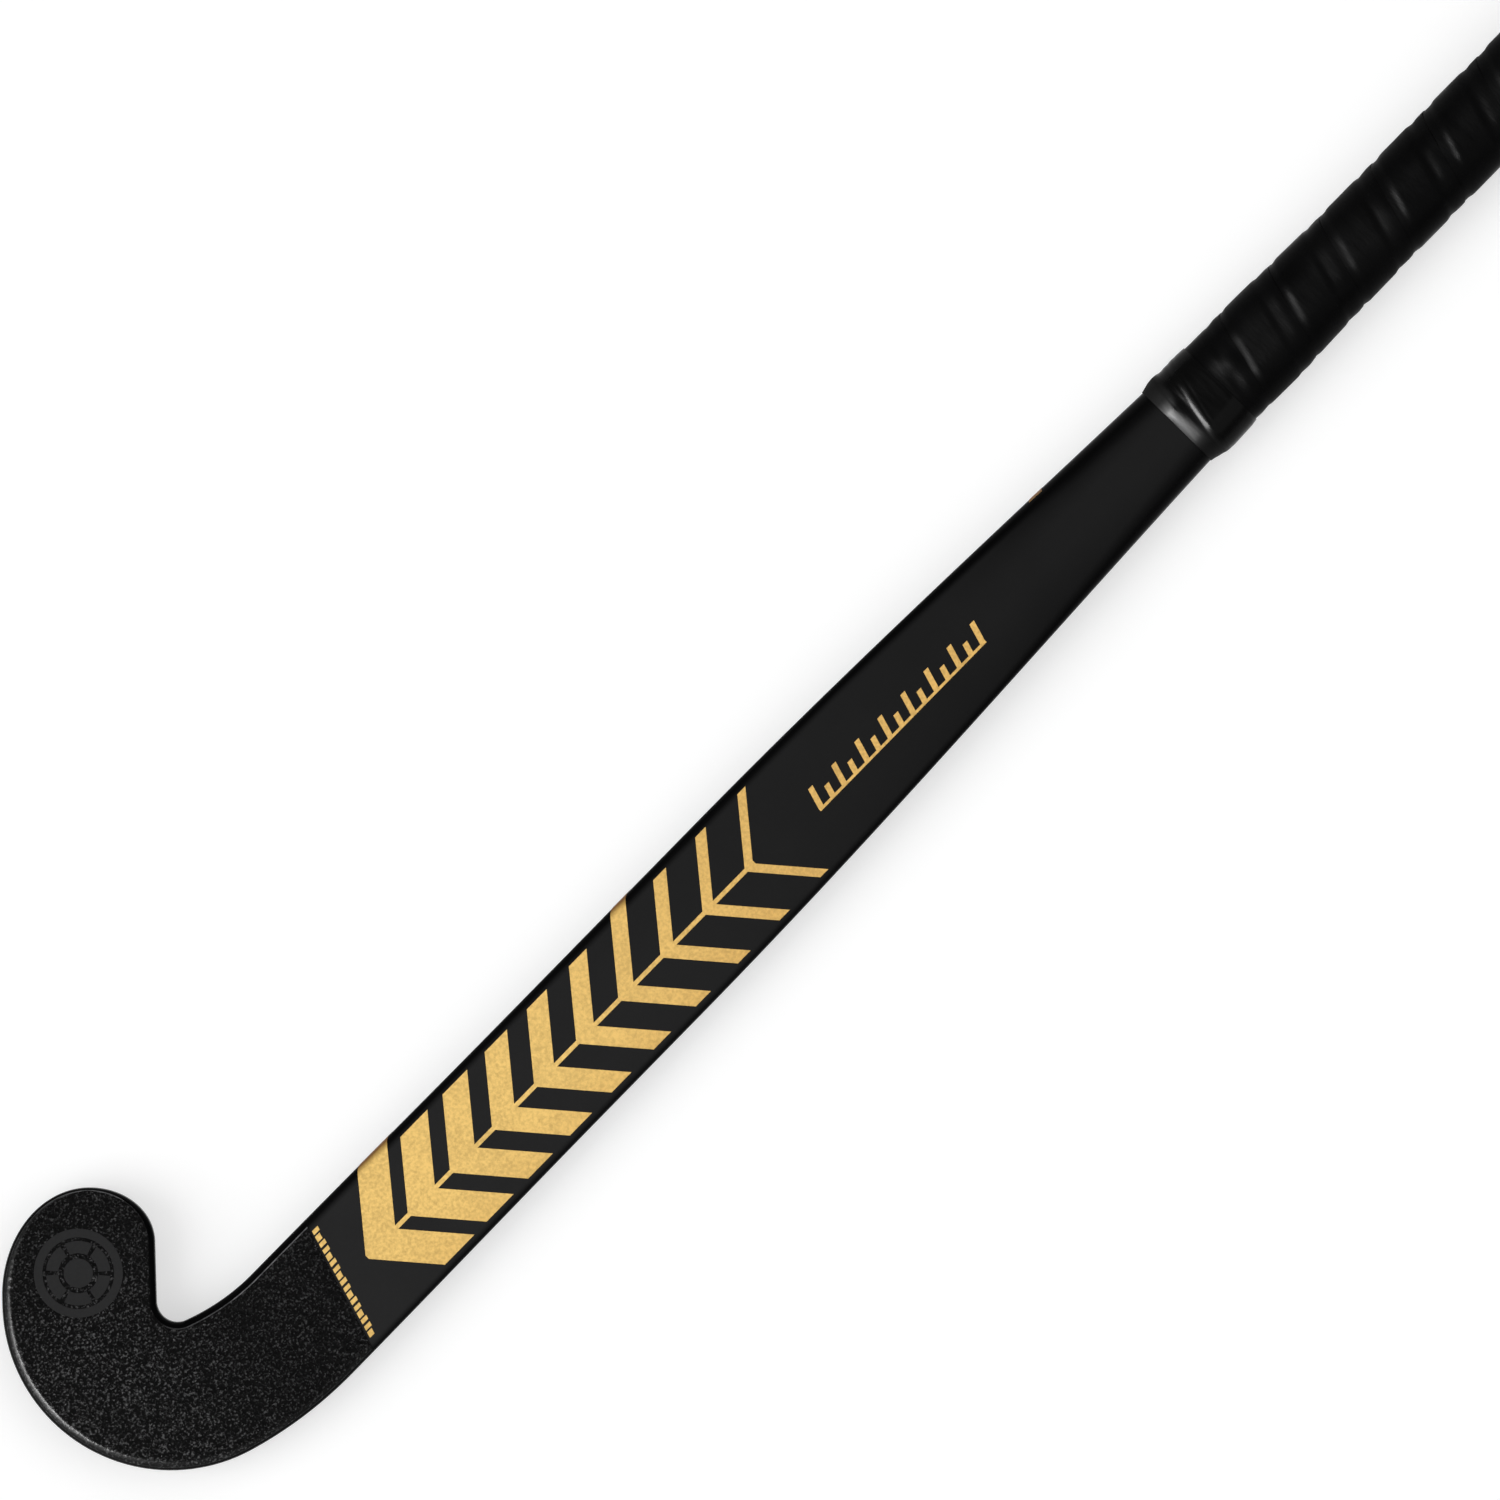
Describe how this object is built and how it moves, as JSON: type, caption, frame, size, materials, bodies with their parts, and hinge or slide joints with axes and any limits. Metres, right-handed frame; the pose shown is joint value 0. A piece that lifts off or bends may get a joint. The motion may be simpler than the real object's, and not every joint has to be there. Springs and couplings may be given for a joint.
{
  "type": "field hockey goalkeeper's stick",
  "caption": "Hooked composite field hockey stick with a flat playing face, grained head film, gold foil bars and a spiral-wrapped round grip.",
  "frame": {"origin": "middle of the stick's bounding box, on the floor it lies on", "axes": "the stick lies face up: +X runs up the shaft to the butt, +Y points to the toe, +Z is the playing face's normal"},
  "size_m": [0.927, 0.12, 0.0415],
  "materials": {
    "laminate": "matt charcoal lacquer over carbon laminate",
    "foam": "polyurethane foam",
    "aramid": "resin-soaked aramid braid",
    "carbon_strap": "unidirectional carbon",
    "tube_film": "nylon film",
    "elastomer": "soft elastomer",
    "plug": "dense foam",
    "cap": "moulded black rubber",
    "cushion": "thin foam underlay",
    "adhesive_tape": "double-sided tape",
    "grip": "black polyurethane, slightly glossy",
    "collar": "stretched black vinyl tape",
    "grained_film": "sparkling black grain",
    "toe_foil": "smooth dark grey foil",
    "gold_foil": "satin gold transfer foil"
  },
  "bodies": {
    "root": {"laminate_shell": "laminate", "head_core": "foam", "head_sock": "aramid", "face_strap": "carbon_strap", "back_strap": "carbon_strap", "chamber_tube_toe_side": "tube_film", "chamber_tube_outer_side": "tube_film", "chamber_stopper_toe_side": "foam", "chamber_stopper_outer_side": "foam", "centre_web": "carbon_strap", "damper_strip": "elastomer", "butt_plug": "plug", "butt_cap": "cap", "cushion_wrap": "cushion", "anchor_tape_lower": "adhesive_tape", "anchor_tape_upper": "adhesive_tape", "grip_tape": "grip", "finishing_tape": "collar", "control_film": "grained_film", "toe_mark": "toe_foil", "shaft_bars": "gold_foil", "tick_row": "gold_foil", "border_line": "gold_foil", "side_flash": "gold_foil"}
  },
  "joints": []
}
